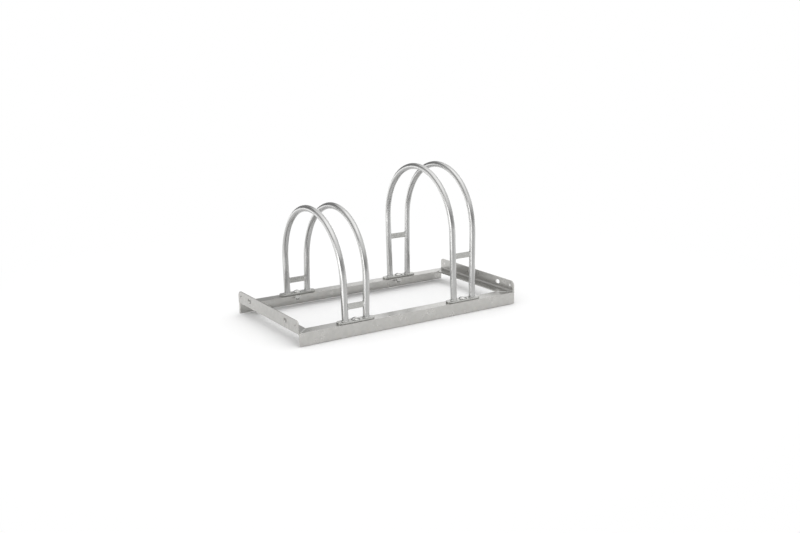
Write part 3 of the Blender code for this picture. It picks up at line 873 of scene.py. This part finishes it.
plated_zinc = zinc_plate("#AEAEAC", "#C2C2C0", smooth=0.15, hazy=0.22, haze_size=0.004)
bolt_low, bolt_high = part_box("low_front_bolt")
bolt_middle = (bolt_low + bolt_high) / 2
half_bolt = BOLT_DIAMETER / 2
half_neck = NECK_WIDTH / 2
head_radius = bolt_high.x - bolt_middle.x
groove_radius = half_bolt - THREAD_DEPTH
profile = [(bolt_low.z, groove_radius)]
for turn in range(round(THREAD_LENGTH / THREAD_PITCH)):
    for share, radius in ((0.4, half_bolt), (0.6, half_bolt), (1.0, groove_radius)):
        profile.append((bolt_low.z + (turn + share) * THREAD_PITCH, radius))
thread_end = profile[-1][0]
profile += [(thread_end + THREAD_RUN_OUT, half_bolt), (rail_top, half_bolt)]
profile += [(rail_top + NECK_CHAMFER, half_neck), (plate_top, half_neck)]
profile += [(plate_top + HEAD_LIFT, head_radius - HEAD_EDGE), (plate_top + HEAD_EDGE, head_radius)]
dome_height = bolt_high.z - plate_top - HEAD_RIM
dome_radius = (head_radius ** 2 + dome_height ** 2) / (2 * dome_height)
dome_span = math.asin(head_radius / dome_radius)
for step in range(DOME_STEPS):
    slope = dome_span * (1 - step / DOME_STEPS)
    profile.append((bolt_high.z - dome_radius * (1 - math.cos(slope)), dome_radius * math.sin(slope)))
profile.append((bolt_high.z, CROWN_RADIUS))
bolt = drawn_out("coach_bolt", bolt_middle, profile)
for point in bolt.data.vertices:
    from_axis = point.co - bolt_middle
    if rail_top < point.co.z < plate_top + HEAD_LIFT / 2:
        reach = max(abs(from_axis.x), abs(from_axis.y))
        point.co.xy = bolt_middle.xy + from_axis.xy * half_neck / reach
bpy.ops.object.select_all(action="DESELECT")
bolt.select_set(True)
bpy.ops.object.shade_smooth_by_angle(angle=BOLT_SHARP_PAST)

# Washers
# A flat washer, punched from sheet and zinc plated, lies under the flange of the rail at every bolt. The
# punch has rounded its edges a little.
WASHER_HOLE = 0.0105
WASHER_EDGE = 0.0003

washer_low, washer_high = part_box("low_front_washer")
flange_under = rail_top - SHEET
washer_radius = washer_high.x - bolt_middle.x
washer = drawn_out("flat_washer", bolt_middle, [
    (washer_low.z, washer_radius), (flange_under, washer_radius)
])
drill(washer, WASHER_HOLE, (bolt_middle.x, bolt_middle.y, flange_under))
soften(washer, WASHER_EDGE)

# Nuts
# A zinc-plated hexagon nut with its corners chamfered at both faces, run up the thread until the washer
# is tight.
NUT_BORE = 0.0094
NUT_FACE = 0.0162
NUT_CHAMFER = math.radians(30)
NUT_EDGE = 0.0002
# The tool that chamfers the nut reaches this far past both of its faces.
TOOL_REACH = 0.001

nut_low, nut_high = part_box("low_front_nut")
nut_top = washer_low.z
half_height = (nut_top - nut_low.z) / 2
half_flats = (nut_high.x - nut_low.x) / 2
bpy.ops.object.select_all(action="DESELECT")
bpy.ops.mesh.primitive_cylinder_add(
    vertices=6, radius=half_flats / math.cos(math.pi / 6), depth=nut_top - nut_low.z,
    location=(bolt_middle.x, bolt_middle.y, (nut_top + nut_low.z) / 2)
)
nut = named("hexagon_nut")
half_face = NUT_FACE / 2
cone = 1 / math.tan(NUT_CHAMFER)
drawn_out("chamfer_tool", bolt_middle, [
    (nut_low.z - TOOL_REACH, half_face - TOOL_REACH * cone),
    (nut_low.z + half_height, half_face + half_height * cone),
    (nut_top + TOOL_REACH, half_face - TOOL_REACH * cone)
])
cut(nut, operation="INTERSECT")
drill(nut, NUT_BORE, (bolt_middle.x, bolt_middle.y, nut_low.z + half_height))
soften(nut, NUT_EDGE)

# The four sets of fasteners are alike, so each is a copy of this one over its own hole.
for piece, word in ((bolt, "bolt"), (washer, "washer"), (nut, "nut")):
    for pair, row in product(PAIRS, FRONT_REAR):
        low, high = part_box(f"{pair}_{row}_{word}")
        move = (low + high) / 2 - bolt_middle
        fastener = copy_of(piece, f"{pair}_{row}_{piece.name}", move=(move.x, move.y, 0))
        fastener.data.materials.append(plated_zinc)
        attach(fastener, "root")
        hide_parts(f"{pair}_{row}_{word}")
    bpy.data.objects.remove(piece)
